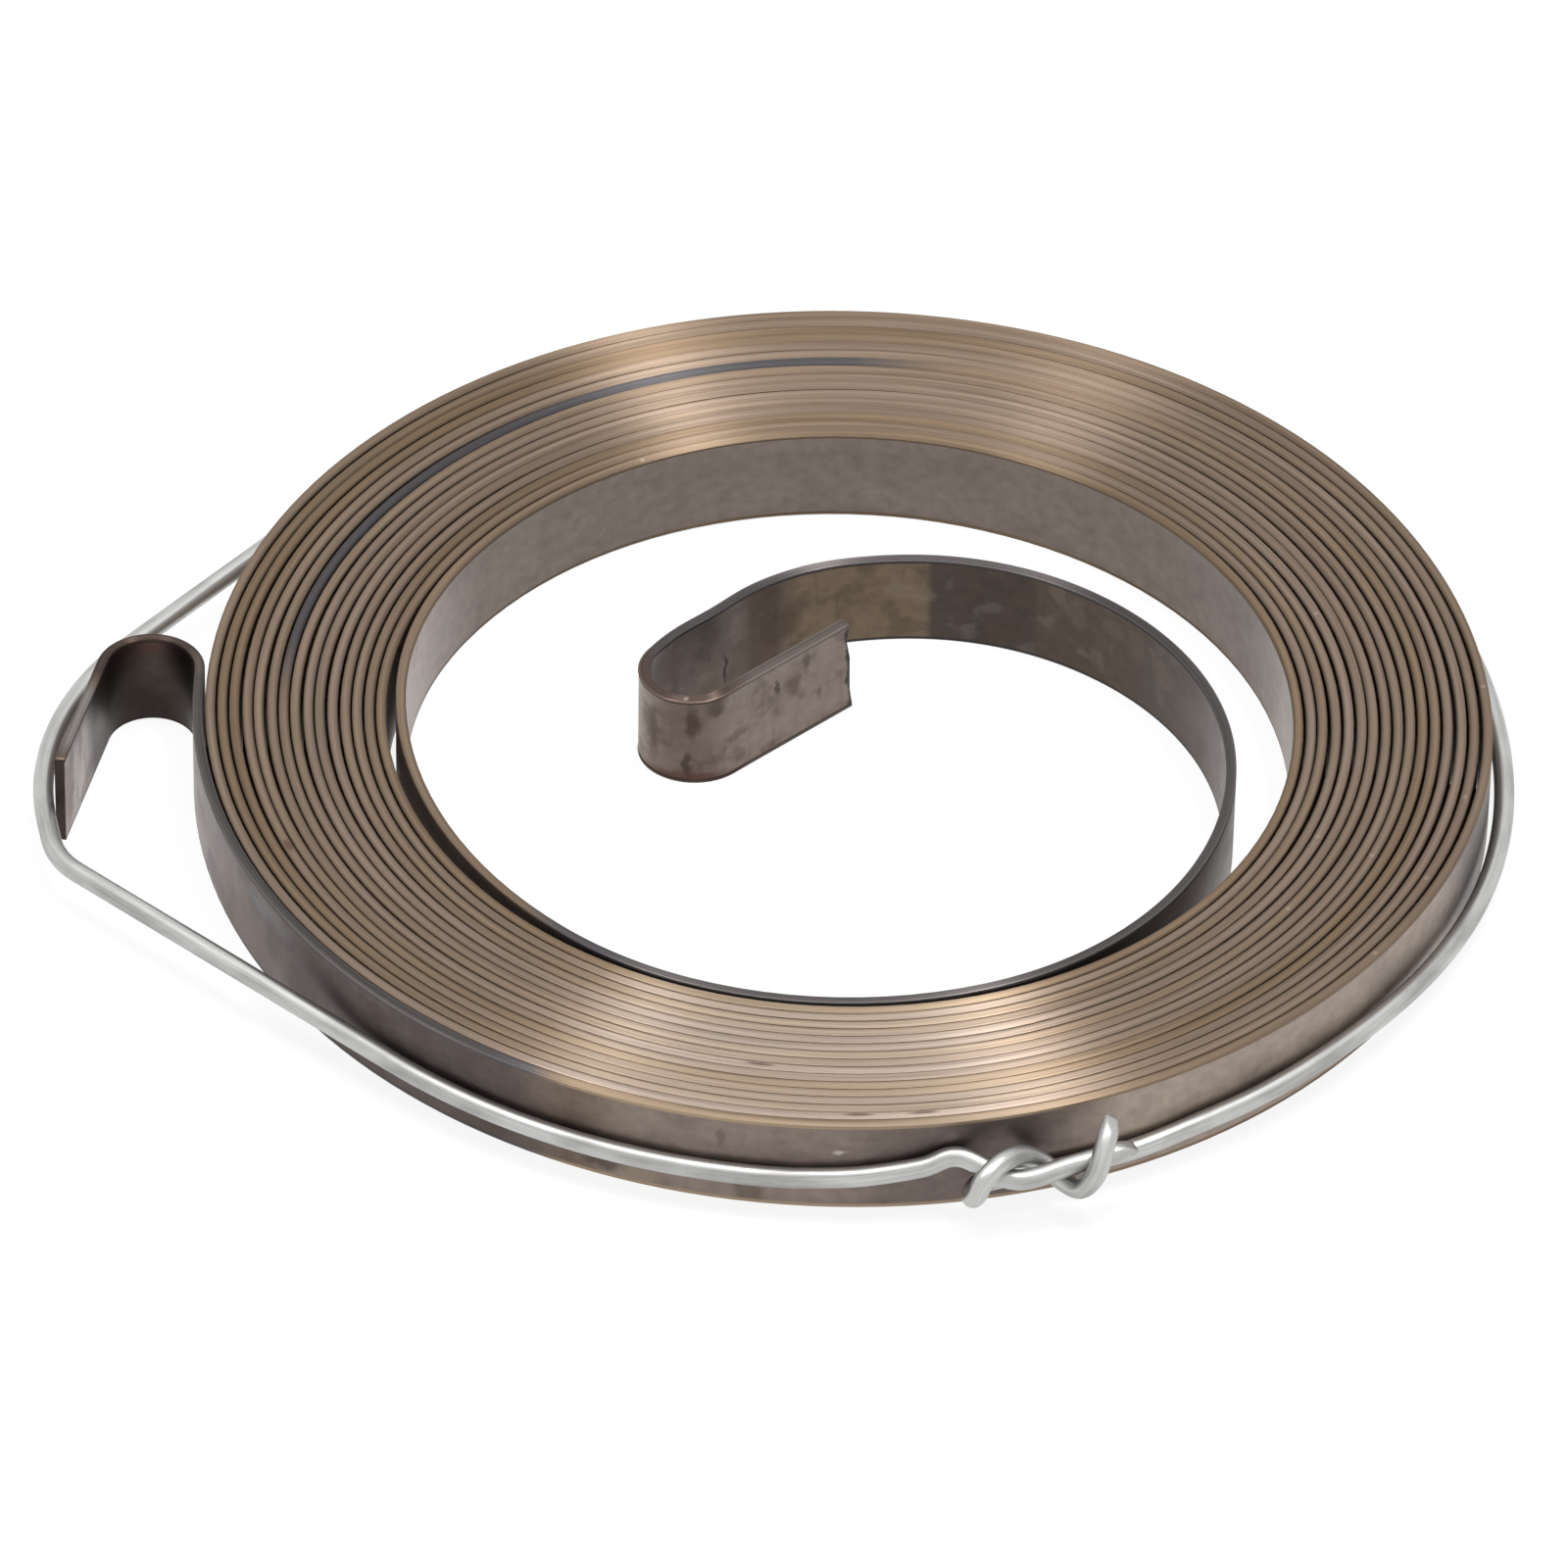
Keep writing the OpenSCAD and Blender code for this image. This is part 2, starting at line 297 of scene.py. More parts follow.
strip_mesh = bpy.data.meshes.new("spring_strip_wound")
strip_faces = tube_faces(ring_total, section_total)
strip_mesh.from_pydata((rings.reshape(-1, 3) * MM).tolist(), [], strip_faces)
EDGE, FACE, CUT_END = 0, 1, 2
ring_slots = [FACE if is_face else EDGE for is_face in stretch_is_face]
strip_mesh.polygons.foreach_set("material_index", ring_slots * (ring_total - 1) + [CUT_END, CUT_END])
strip_mesh.polygons.foreach_set("use_smooth", [True] * (len(strip_faces) - 2) + [False, False])
section_loop = np.stack([section_across, section_up], 1)
section_steps = np.linalg.norm(np.roll(section_loop, -1, axis=0) - section_loop, axis=1)
strip_rows = 16
lay_flat(strip_mesh, along, np.concatenate([[0], np.cumsum(section_steps)]), strip_rows)
strip = bpy.data.objects.new("spring_strip_wound", strip_mesh)
bpy.context.collection.objects.link(strip)


def keep(mesh, name, kind, values):
    """Stores one value for each point of a mesh, for its material to read."""
    field = {"FLOAT_VECTOR": "vector", "FLOAT_COLOR": "color", "FLOAT": "value"}[kind]
    mesh.attributes.new(name, kind, "POINT").data.foreach_set(field, np.asarray(values).ravel())


# Every point keeps its place on the flat strip, which is along it, across it and up it, and the way across.
strip_place = np.zeros((ring_total, section_total, 3))
strip_place[:, :, 0] = along[:, None]
strip_place[:, :, 1] = section_across[None, :]
strip_place[:, :, 2] = section_up[None, :]
keep(strip_mesh, "strip_place", "FLOAT_VECTOR", strip_place * MM)
across_way = np.concatenate([strip_left, np.zeros((ring_total, 1))], axis=1)
keep(strip_mesh, "strip_across", "FLOAT_VECTOR", np.repeat(across_way, section_total, axis=0))


def linear(hex_colour):
    """An sRGB hex colour as linear red, green, blue and full alpha."""
    parts = [int(hex_colour[i:i + 2], 16) / 255 for i in (1, 3, 5)]
    return [p / 12.92 if p <= 0.04045 else ((p + 0.055) / 1.055) ** 2.4 for p in parts] + [1.0]


def after(degrees):
    """How far along the strip it has turned this much since it left the hook."""
    return float(np.interp(degrees, turned[hook_count:], along[hook_count:]))


def zoned(tones, zones):
    """Tones along the strip with zones laid over them: start, end, fade at both ends, colour and strength."""
    for start, end, fade, hex_colour, strength in zones:
        share = np.clip(np.minimum(along - start, end - along) / fade + 0.5, 0, 1) * strength
        tones = tones + (np.array(linear(hex_colour)) - tones) * share[:, None]
    return tones


# Tempering leaves the edges straw and taupe, a shade of its own for each stretch of the strip. The heat that
# softened the ends leaves them slate grey and brown, and one stretch inside the coil has kept a grey scale.
straw, taupe, slate, temper_blue = "#826e58", "#8e7d6f", "#4d4c4e", "#4c5468"
scale_grey, rim_brown, leg_grey, rust = "#474a51", "#5a4a43", "#6f6660", "#5f4e46"
outer_heat_end = after(63)
inner_heat_start = after(coil_turned + 80)
hairpin_length = 17.6
hairpin_start = strip_end - hairpin_length
leg_start = strip_end - hairpin_leg
shade_knot, bright_knot, sheen_knot = 60.0, 45.0, 12.0
shade = drift(along, shade_knot, 0, 1)[:, None]
edge_tone = np.array(linear(straw)) * (1 - shade) + np.array(linear(taupe)) * shade
edge_tone = edge_tone * drift(along, bright_knot, 0.92, 1.08)[:, None]
# Painted highlight on the front edges of the coil, all turns alike, between these degrees of each turn.
front_turn = [61, 68, 103, 111, 117]
front_share = [0, 1, 1, 0.3, 0]
front_sheen_gain = np.array([0.46, 0.56, 0.68, 0.0])
all_gain, back_shade = 1.04, 0.14
front_sheen = wound * np.interp(np.mod(turned, 360), front_turn, front_share) * drift(along, sheen_knot, 0.8, 1.1)
edge_tone = edge_tone * (1 + front_sheen_gain * front_sheen[:, None])
# Painted shade on the edges at the back of the coil.
edge_tone = edge_tone * (all_gain - back_shade * wound * at_back)[:, None]
edge_tone = zoned(edge_tone, [
    (-9, 1.5, 1, rust, 0.8),
    (1, 7.5, 2, "#8a8783", 0.8),
    (7.5, 17, 2, "#493d39", 0.9),
    (17, outer_heat_end, 4, slate, 0.9),
    (outer_heat_end - 1.5, outer_heat_end + 0.8, 1.5, temper_blue, 0.5),
    (after(2425), after(2517), 6, scale_grey, 0.85),
    (inner_heat_start, strip_end + 9, 6, slate, 0.9),
    (inner_heat_start - 2, inner_heat_start + 3, 3, temper_blue, 0.4),
    (hairpin_start, leg_start + 2, 2, rim_brown, 0.85),
    (leg_start + 1, strip_end + 9, 2, leg_grey, 0.9),
])
# Painted light across each edge: the middle is painted brightest, and the corners and the faces just below
# them are painted darker as shade, except where the turns press together, and the inner side a little darker.
foot_shade, rise_shade, corner_painted_shade, inner_painted_shade = 0.7, 0.5, 0.45, 0.1
edge_rise = np.clip((np.abs(section_up - strip_w / 2) - strip_w / 2 + rim_depth) / rim_depth, 0, 1)
edge_shade = (foot_shade + rise_shade * edge_rise) * (1 - corner_painted_shade * (section_across / half_t) ** 2)
corner_shade = edge_shade[None, :] + (1 - edge_shade[None, :]) * pressed[:, None]
corner_shade = corner_shade * (1 - inner_painted_shade * section_across[None, :] / half_t)
# Where heat has darkened the edges, their corners carry a painted highlight.
outer_heat_start, heat_fade = 18, 6
corner_start, corner_fade, corner_highlight = 0.2, 0.06, 1.3
outer_heat = np.minimum(along - outer_heat_start, outer_heat_end - along)
heated = np.clip(np.maximum(outer_heat, along - inner_heat_start) / heat_fade, 0, 1)
at_corner = np.clip((np.abs(section_across) - corner_start) / corner_fade, 0, 1) * edge_rise
corner_shade = corner_shade * (1 + corner_highlight * heated[:, None] * at_corner[None, :])
# The stored edge tone holds this painted highlight and shade as well as the tempered colours.
keep(strip_mesh, "edge_tone", "FLOAT_COLOR", edge_tone[:, None, :] * corner_shade[:, :, None])

# The faces carry a thin oxide: grey and mauve on the coil, lighter where the hook's leg was rubbed, and
# khaki, brown and black in bands along the tail, one of them with a hard edge. Inside the hook's bend,
# between the turns and under the wire's twist they are painted dark, as shade and shadow.
oxide_inner, oxide_outer, oxide_light, between = "#7b7069", "#a4968b", "#a89c95", "#5a4636"
khaki_start = strip_end - 37.3
inner_face = zoned(np.tile(linear(oxide_inner), (ring_total, 1)), [
    # The faces hidden between the turns: painted shade, as dark as the gaps look.
    (20, after(5372), 4, between, 1.0),
    (after(5572), after(5596), 6, oxide_light, 0.7),
    (after(5737), after(5800), 8, oxide_light, 0.8),
    (inner_heat_start, strip_end - 54, 12, "#60564e", 0.9),
    (strip_end - 60, khaki_start, 6, "#4f443c", 0.9),
    (strip_end - 44, khaki_start, 0.6, "#483f3a", 0.85),
    (khaki_start, strip_end - 28.5, 0.6, "#716252", 1.0),
    (strip_end - 28.5, strip_end - 25, 1.5, "#4f4137", 0.9),
    (strip_end - 25, strip_end - 20.5, 2, "#5f544d", 0.9),
    (strip_end - 20.5, strip_end + 9, 2, "#4d3f3b", 0.9),
])
outer_face = zoned(np.tile(linear(oxide_outer), (ring_total, 1)), [
    (-9, 5.4, 2, "#aea6a3", 0.9),
    # Painted shade inside the hook's bend.
    (5.4, 17.8, 2, "#3c332f", 0.95),
    (18, after(16), 3, "#8c8280", 0.9),
    (after(15), after(32), 4, "#675d57", 0.9),
    (after(30), after(66), 6, "#5a504c", 0.95),
    (after(64), after(71), 3, "#6a5a50", 0.8),
    (after(71), after(90), 4, "#84776f", 0.9),
    # Painted shadow of the wire's twist on the outer wall.
    (after(90), after(112), 5, "#6f635e", 0.9),
    (after(160), after(190), 5, "#57524f", 0.85),
    # The faces hidden between the turns: painted shade, as dark as the gaps look.
    (after(366), after(5700), 4, between, 1.0),
    (inner_heat_start, hairpin_start, 8, "#766d6a", 0.9),
    (hairpin_start + 3, leg_start, 3, "#665852", 0.9),
    (leg_start - 1, strip_end + 9, 3, "#84766f", 0.9),
])
face_tone = np.where(section_across[None, :, None] > 0, inner_face[:, None, :], outer_face[:, None, :])
# The stored face tone holds this painted shade and shadow with the oxide's colours.
keep(strip_mesh, "face_tone", "FLOAT_COLOR", face_tone)
# Handling and heat have blotched both ends, and the coil and the hook's bend much less.
outer_blotched, inner_blotched, end_fade, least_blotched = 70, 90, 25.0, 0.2
bend_spot, bend_reach, bend_share = 12, 6, 0.3
near_ends = np.maximum(outer_blotched - along, along - strip_end + inner_blotched) / end_fade
in_bend = np.where(np.abs(along - bend_spot) < bend_reach, bend_share, 1)
blotched = np.clip(near_ends, least_blotched, 1) * in_bend
keep(strip_mesh, "blotched", "FLOAT", np.repeat(blotched, section_total))


def add_node(tree, kind, inputs=None, **settings):
    """A node with its settings, and with each input set to a value or linked to another node's output."""
    made = tree.nodes.new(kind)
    for name, value in settings.items():
        setattr(made, name, value)
    for socket, value in (inputs or {}).items():
        if isinstance(value, bpy.types.NodeSocket):
            tree.links.new(value, made.inputs[socket])
        else:
            made.inputs[socket].default_value = value
    return made


def new_material(name):
    material = bpy.data.materials.new(name)
    material.use_nodes = True
    material.node_tree.nodes.clear()
    return material


MIX_FACTOR, MIX_A, MIX_B, MIX_OUT = 0, 6, 7, 2


def grain(tree, place, sizes, detail):
    """An uneven grain with the given sizes along, across and up the piece, in millimetres."""
    run = [1 / (size * MM) for size in sizes]
    at = add_node(tree, "ShaderNodeVectorMath", {0: place, 1: run}, operation="MULTIPLY").outputs[0]
    return add_node(tree, "ShaderNodeTexNoise", {"Vector": at, "Scale": 1.0, "Detail": detail})


def blot(tree, place, under, spot, reach, hex_colour, strength):
    """A soft-edged mark on a surface, at a spot and with a reach, both along, across and up the piece."""
    spread = [1 / (r * MM) for r in reach]
    shift = [-s / r for s, r in zip(spot, reach)]
    off = add_node(tree, "ShaderNodeVectorMath", {0: place, 1: spread, 2: shift},
                   operation="MULTIPLY_ADD").outputs[0]
    far = add_node(tree, "ShaderNodeVectorMath", {0: off}, operation="LENGTH").outputs["Value"]
    solid_share = 0.45
    here = add_node(tree, "ShaderNodeMapRange", {
        "Value": far, "From Min": solid_share, "From Max": 1.0, "To Min": strength, "To Max": 0.0}).outputs[0]
    return add_node(tree, "ShaderNodeMix", {MIX_FACTOR: here, MIX_A: under, MIX_B: linear(hex_colour)},
                    data_type="RGBA").outputs[MIX_OUT]


# Ground spring steel edge: satin metal with fine grinding lines along the strip. The lines spread a light
# across the strip and hardly along it, so each lamp shows as a bright fan across all the turns. Real lines
# are some hundredths of a millimetre apart, and these are drawn coarser so that they show.
edge_steel = new_material("ground_spring_steel_edge")
tree = edge_steel.node_tree
place = add_node(tree, "ShaderNodeAttribute", attribute_name="strip_place").outputs["Vector"]
across = add_node(tree, "ShaderNodeAttribute", attribute_name="strip_across").outputs["Vector"]
tone = add_node(tree, "ShaderNodeAttribute", attribute_name="edge_tone").outputs["Color"]
streak = grain(tree, place, (14, 0.2, 0.6), 3.0).outputs["Fac"]
lines = grain(tree, place, (2.5, 0.08, 0.15), 2.0).outputs["Fac"]
streak_shade = add_node(tree, "ShaderNodeMapRange", {
    "Value": streak, "From Min": 0.3, "From Max": 0.7, "To Min": 0.76, "To Max": 1.2}).outputs[0]
streaked = add_node(tree, "ShaderNodeMix", {MIX_FACTOR: 1.0, MIX_A: tone, MIX_B: streak_shade},
                    data_type="RGBA", blend_type="MULTIPLY").outputs[MIX_OUT]
# Bright nicks, dark dashes and a rust spot, each by its place along the strip in millimetres.
rust_spot = 950.3
dash_spots = [315.2, 318.9, 1622.3]
dash_side = 0.1
rust_reach, dash_reach, nick_reach = (0.7, 0.3, 0.6), (1.1, 0.15, 0.4), (0.2, 0.2, 0.4)
nick_spots = [141.1, 364.4, 1458.5, 2447.0, 2058.5, 356.6, 115.2, 2468.1, 3220.5, strip_end - 12.2]
worn = blot(tree, place, streaked, (rust_spot, 0, strip_w), rust_reach, "#5f4034", 0.6)
for spot in dash_spots:
    worn = blot(tree, place, worn, (spot, dash_side, strip_w), dash_reach, "#4a3c30", 0.7)
for spot in nick_spots:
    worn = blot(tree, place, worn, (spot, 0, strip_w), nick_reach, "#b9ad9e", 0.5)
edge_rough = add_node(tree, "ShaderNodeMapRange", {
    "Value": streak, "From Min": 0.3, "From Max": 0.7, "To Min": 0.35, "To Max": 0.41}).outputs[0]
edge_bump = add_node(tree, "ShaderNodeBump", {
    "Strength": 0.15, "Distance": 0.006 * MM, "Height": lines}).outputs[0]
shader = add_node(tree, "ShaderNodeBsdfPrincipled", {
    "Base Color": worn, "Metallic": 1.0, "Roughness": edge_rough, "Anisotropic": 1.0, "Tangent": across,
    "Normal": edge_bump})
add_node(tree, "ShaderNodeOutputMaterial", {"Surface": shader.outputs[0]})

# Tempered spring steel face: rolled strip under a thin oxide. It is duller than the edges, clouded, and
# blotched brown and khaki towards both ends, with faint scratches up it where it was bent.
face_steel = new_material("tempered_spring_steel_face")
tree = face_steel.node_tree
place = add_node(tree, "ShaderNodeAttribute", attribute_name="strip_place").outputs["Vector"]
tone = add_node(tree, "ShaderNodeAttribute", attribute_name="face_tone").outputs["Color"]
blotches = add_node(tree, "ShaderNodeAttribute", attribute_name="blotched").outputs["Fac"]
cloud = grain(tree, place, (6, 5, 4), 4.0).outputs["Fac"]
patch = grain(tree, place, (2.6, 9, 2.2), 5.0).outputs["Fac"]
mottle = grain(tree, place, (0.9, 3, 0.7), 3.0).outputs["Fac"]
upright = grain(tree, place, (0.4, 3, 3.5), 3.0).outputs["Fac"]
cloud_shade = add_node(tree, "ShaderNodeMapRange", {
    "Value": cloud, "From Min": 0.3, "From Max": 0.7, "To Min": 0.88, "To Max": 1.1}).outputs[0]
mottle_shade = add_node(tree, "ShaderNodeMapRange", {
    "Value": mottle, "From Min": 0.3, "From Max": 0.7, "To Min": 0.88, "To Max": 1.1}).outputs[0]
both_shades = add_node(tree, "ShaderNodeMath", {0: cloud_shade, 1: mottle_shade},
                       operation="MULTIPLY").outputs[0]
clouded = add_node(tree, "ShaderNodeMix", {MIX_FACTOR: 1.0, MIX_A: tone, MIX_B: both_shades},
                   data_type="RGBA", blend_type="MULTIPLY").outputs[MIX_OUT]
brown_share = add_node(tree, "ShaderNodeMapRange", {
    "Value": patch, "From Min": 0.52, "From Max": 0.62, "To Max": 0.52}).outputs[0]
brown_here = add_node(tree, "ShaderNodeMath", {0: brown_share, 1: blotches}, operation="MULTIPLY").outputs[0]
browned = add_node(tree, "ShaderNodeMix", {MIX_FACTOR: brown_here, MIX_A: clouded, MIX_B: linear("#51443c")},
                   data_type="RGBA").outputs[MIX_OUT]
pale_share = add_node(tree, "ShaderNodeMapRange", {
    "Value": patch, "From Min": 0.44, "From Max": 0.36, "To Min": 0.0, "To Max": 0.15}).outputs[0]
pale_here = add_node(tree, "ShaderNodeMath", {0: pale_share, 1: blotches}, operation="MULTIPLY").outputs[0]
paled = add_node(tree, "ShaderNodeMix", {MIX_FACTOR: pale_here, MIX_A: browned, MIX_B: linear("#8f857b")},
                 data_type="RGBA").outputs[MIX_OUT]
scratch_share = add_node(tree, "ShaderNodeMapRange", {
    "Value": upright, "From Min": 0.58, "From Max": 0.70, "To Max": 0.22}).outputs[0]
scratch_here = add_node(tree, "ShaderNodeMath", {0: scratch_share, 1: blotches},
                        operation="MULTIPLY").outputs[0]
worn = add_node(tree, "ShaderNodeMix", {MIX_FACTOR: scratch_here, MIX_A: paled, MIX_B: linear("#453a35")},
                data_type="RGBA").outputs[MIX_OUT]
# Single marks: stains in the hairpin's bend, dark patches on its leg, pale rubs on the tail, nicks and brown
# patches on the coil's outer wall and the dark sheared end. Each is its place along, its side and its height,
# its reach along and up, its colour and its strength.
INNER, OUTER = half_t, -half_t
marks = [
    (strip_end - 11.8, OUTER, 4.3, 0.5, 1.5, "#43332d", 0.7),
    (strip_end - 12.0, OUTER, 1.3, 0.4, 1.2, "#3e312b", 0.7),
    (strip_end - 10.4, OUTER, 5.2, 0.6, 0.9, "#4a3b35", 0.6),
    (strip_end - 14.0, OUTER, 3.0, 0.5, 2.4, "#54463c", 0.5),
    (strip_end - 12.0, OUTER, 0.3, 3.0, 0.5, "#5a3a33", 0.6),
    (strip_end - 5.7, OUTER, 4.3, 0.28, 0.75, "#3f3531", 0.75),
    (strip_end - 4.5, OUTER, 3.9, 0.9, 1.0, "#5e5148", 0.7),
    (strip_end - 3.4, OUTER, 5.0, 0.35, 0.9, "#54483f", 0.65),
    (strip_end - 2.4, OUTER, 2.3, 0.22, 0.6, "#55493f", 0.6),
    (strip_end, OUTER, 3.0, 0.3, 9.0, "#2c2422", 0.9),
    (strip_end - 23.5, INNER, 1.6, 0.22, 1.6, "#2f2622", 0.8),
    (strip_end - 28.0, INNER, 2.6, 1.9, 1.7, "#493c31", 0.6),
    (strip_end - 47.0, INNER, 4.1, 0.7, 1.2, "#6a5e50", 0.35),
    (strip_end - 49.5, INNER, 4.6, 1.0, 0.9, "#6a5e50", 0.35),
    (strip_end - 51.5, INNER, 4.2, 0.9, 1.3, "#6a5e50", 0.35),
    (strip_end - 54.0, INNER, 3.8, 1.3, 1.2, "#6a5e50", 0.35),
    (strip_end - 63.3, INNER, 5.1, 0.2, 0.35, "#b3aaa2", 0.6),
    (strip_end - 63.8, INNER, 3.0, 0.15, 1.0, "#b5aca4", 0.6),
    (79.6, OUTER, 4.1, 0.45, 0.22, "#c4bcb4", 0.85),
    (68.0, OUTER, 0.9, 1.5, 0.8, "#8d8170", 0.7),
    (72.8, OUTER, 4.6, 0.3, 0.9, "#5c504b", 0.5),
    (39.5, OUTER, 4.8, 4.0, 0.8, "#6e7074", 0.6),
    (36.5, OUTER, 1.5, 5.0, 2.0, "#5d5049", 0.55),
    (27.5, OUTER, 2.6, 2.0, 1.6, "#63524b", 0.5),
    (31.5, OUTER, 1.4, 2.4, 1.3, "#513f39", 0.6),
    (34.5, OUTER, 3.0, 1.2, 1.8, "#5b463f", 0.55),
    (40.5, OUTER, 3.3, 1.4, 1.9, "#463b38", 0.6),
    (46.0, OUTER, 3.8, 3.0, 1.0, "#4b423f", 0.5),
    (30.0, OUTER, 4.9, 2.5, 0.7, "#6d6f75", 0.5),
    (37.5, OUTER, 1.8, 3.0, 1.4, "#6f574e", 0.5),
    (33.0, OUTER, 3.6, 2.0, 1.0, "#7a6058", 0.5),
    (43.5, OUTER, 2.2, 2.5, 1.6, "#4a3f3d", 0.6),
    (85.5, OUTER, 3.6, 2.5, 1.1, "#4d4340", 0.6),
    (66.0, OUTER, 1.0, 1.6, 0.7, "#4a403b", 0.6),
    (74.5, OUTER, 0.8, 1.2, 0.9, "#54493f", 0.5),
    (89.0, OUTER, 1.2, 2.2, 1.0, "#4c423d", 0.5),
    # These two darken the inside of the hook's bend, deepest at its foot: painted shade.
    (12.5, OUTER, 5.5, 5.0, 0.8, "#4f3833", 0.6),
    (11.8, OUTER, 0.6, 5.6, 3.2, "#231d1b", 0.6),
    (1.0, OUTER, 3.0, 1.3, 4.0, "#6a5548", 0.7),
    (2.6, OUTER, 1.6, 0.4, 1.0, "#7a6a5e", 0.6),
    (4.4, OUTER, 2.4, 0.35, 1.4, "#5f534c", 0.5),
    (3.4, OUTER, 4.6, 0.5, 1.5, "#75655c", 0.5),
]
# Their outlines are frayed by an uneven push of up to half this far.
fray = 0.9
raw = add_node(tree, "ShaderNodeVectorMath",
               {0: grain(tree, place, (0.8, 3, 0.8), 2.0).outputs["Color"], 1: (0.5, 0.5, 0.5)},
               operation="SUBTRACT").outputs[0]
frayed = add_node(tree, "ShaderNodeVectorMath", {0: raw, 1: (fray * MM, 0, fray * MM), 2: place},
                  operation="MULTIPLY_ADD").outputs[0]
for spot, side, up, reach, reach_up, hex_colour, strength in marks:
    worn = blot(tree, frayed, worn, (spot, side, up), (reach, half_t, reach_up), hex_colour, strength)
face_rough = add_node(tree, "ShaderNodeMapRange", {
    "Value": cloud, "From Min": 0.3, "From Max": 0.7, "To Min": 0.36, "To Max": 0.48}).outputs[0]
face_bump = add_node(tree, "ShaderNodeBump", {
    "Strength": 0.2, "Distance": 0.01 * MM, "Height": mottle}).outputs[0]
shader = add_node(tree, "ShaderNodeBsdfPrincipled",
                  {"Base Color": worn, "Metallic": 0.95, "Roughness": face_rough, "Normal": face_bump})
add_node(tree, "ShaderNodeOutputMaterial", {"Surface": shader.outputs[0]})

# Sheared spring steel: the cut ends, rough, torn and dark with scale.
end_steel = new_material("sheared_spring_steel_end")
tree = end_steel.node_tree
place = add_node(tree, "ShaderNodeAttribute", attribute_name="strip_place").outputs["Vector"]
torn = grain(tree, place, (0.3, 0.12, 0.3), 4.0).outputs["Fac"]
scale_dark, torn_grey = linear("#2a2321"), linear("#574b45")
torn_tone = add_node(tree, "ShaderNodeMix", {MIX_FACTOR: torn, MIX_A: scale_dark, MIX_B: torn_grey},
                     data_type="RGBA").outputs[MIX_OUT]
torn_bump = add_node(tree, "ShaderNodeBump", {
    "Strength": 0.6, "Distance": 0.05 * MM, "Height": torn}).outputs[0]
shader = add_node(tree, "ShaderNodeBsdfPrincipled",
                  {"Base Color": torn_tone, "Metallic": 0.8, "Roughness": 0.6, "Normal": torn_bump})
add_node(tree, "ShaderNodeOutputMaterial", {"Surface": shader.outputs[0]})

for steel in (edge_steel, face_steel, end_steel):
    strip_mesh.materials.append(steel)
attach(strip, "root")
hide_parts("spring_strip")

# Tie wire
# Soft drawn steel wire with a zinc coat, pulled tight round the coil and the outer hook. Its ends are twisted
# together at the front and nipped off with side cutters, which leaves a chisel point.
wire_d = 1.2
wire_r = wire_d / 2
wire_clear = 0.06
wire_off = wire_clear + wire_r
wire_z = 2.6
wire_droop = 0.75
wire_bulge = 0.5
leg_sweep_r = 20.0
corner_run = 1.73
corner_r = 5.0
twist_from = -80.0
twist_z = 3.65
left_c = np.array([0, front_step / 2])
left_r = coil_r + wire_off
right_c = np.array([0, -front_step / 2])
right_r = left_r - front_step
back_c = np.array([0, front_step / 2 - lean])
back_r = left_r - pitch

hook_tip = hook_poses[-1]
tip_out = np.array(hook_tip[:2]) - strip_t / 2 * leftward(hook_tip[2])
sweep_lift = 2.5
sweep_end = 192.0
sweep_c = tip_out + np.array([math.sqrt((leg_sweep_r - wire_off) ** 2 - sweep_lift ** 2), sweep_lift])
corner_c = sweep_c + (leg_sweep_r - corner_r) * forward(sweep_end) + corner_run * leftward(sweep_end)


def run_angle(c1, r1, c2, r2):
    """Angle, on both circles, of the straight run that joins them on their outer sides."""
    gap = c2 - c1
    return math.degrees(math.atan2(gap[1], gap[0]) - math.acos((r1 - r2) / np.linalg.norm(gap))) + 360


back_angle = run_angle(back_c, back_r, sweep_c, leg_sweep_r)
corner_angle = run_angle(corner_c, corner_r, left_c, left_r)

# Each spot of a strand is how far along the coil it is from the twist's start, how far out from the wire's
# seat and how far above the twist's middle, all in wire diameters.
first_strand = [
    (8.4, 1.55, 0.25), (5.4, 1.55, 0.08), (2.67, 1.5, -0.25), (0.33, 0.08, 0.35), (-1.5, 0, -0.2),
    (-4.5, 0, -0.65), (-7.5, 0, -0.85),
]
second_strand = [
    (13, 0, -1.15), (9, 0, -1.38), (5, 0, -1.38), (2.6, 0, -1.35), (1.3, 0.3, -1.3), (0.8, 0.95, -1.2),
    (0.7, 1.7, -0.85), (0.8, 2.25, -0.1), (1.1, 2.2, 0.65), (2.05, 1.5, 0.95), (3.2, 0.7, 0.5),
    (4.2, 0.5, -0.35), (5, 1.25, -1.05), (5.6, 2.1, -1), (6.1, 2.6, 0.2), (6.7, 2, 1.3), (7.4, 1, 2),
]


def on_circle(centre, radius, angle, z):
    spot = centre + radius * forward(angle)
    return np.array([spot[0], spot[1], z])


def smooth(strand, cuts):
    """A smooth curve through a strand's spots."""
    spots = []
    for ahead, out, up in strand:
        angle = twist_from + math.degrees(ahead * wire_d / right_r)
        spots.append(on_circle(right_c, right_r + out * wire_d, angle, twist_z + up * wire_d))
    curve = []
    last = len(spots) - 1
    for i in range(last):
        a, b, c, d = spots[max(i - 1, 0)], spots[i], spots[i + 1], spots[min(i + 2, last)]
        for t in np.arange(cuts) / cuts:
            bend = (2 * a - 5 * b + 4 * c - d) * t * t + (3 * b - a - 3 * c + d) * t * t * t
            curve.append(0.5 * (2 * b + (c - a) * t + bend))
    return curve + [spots[last]]


def around(centre, radius, start, end, cut_angle):
    cuts = math.ceil(abs(end - start) / cut_angle)
    return [on_circle(centre, radius, start + (end - start) * i / cuts, wire_z) for i in range(cuts + 1)]


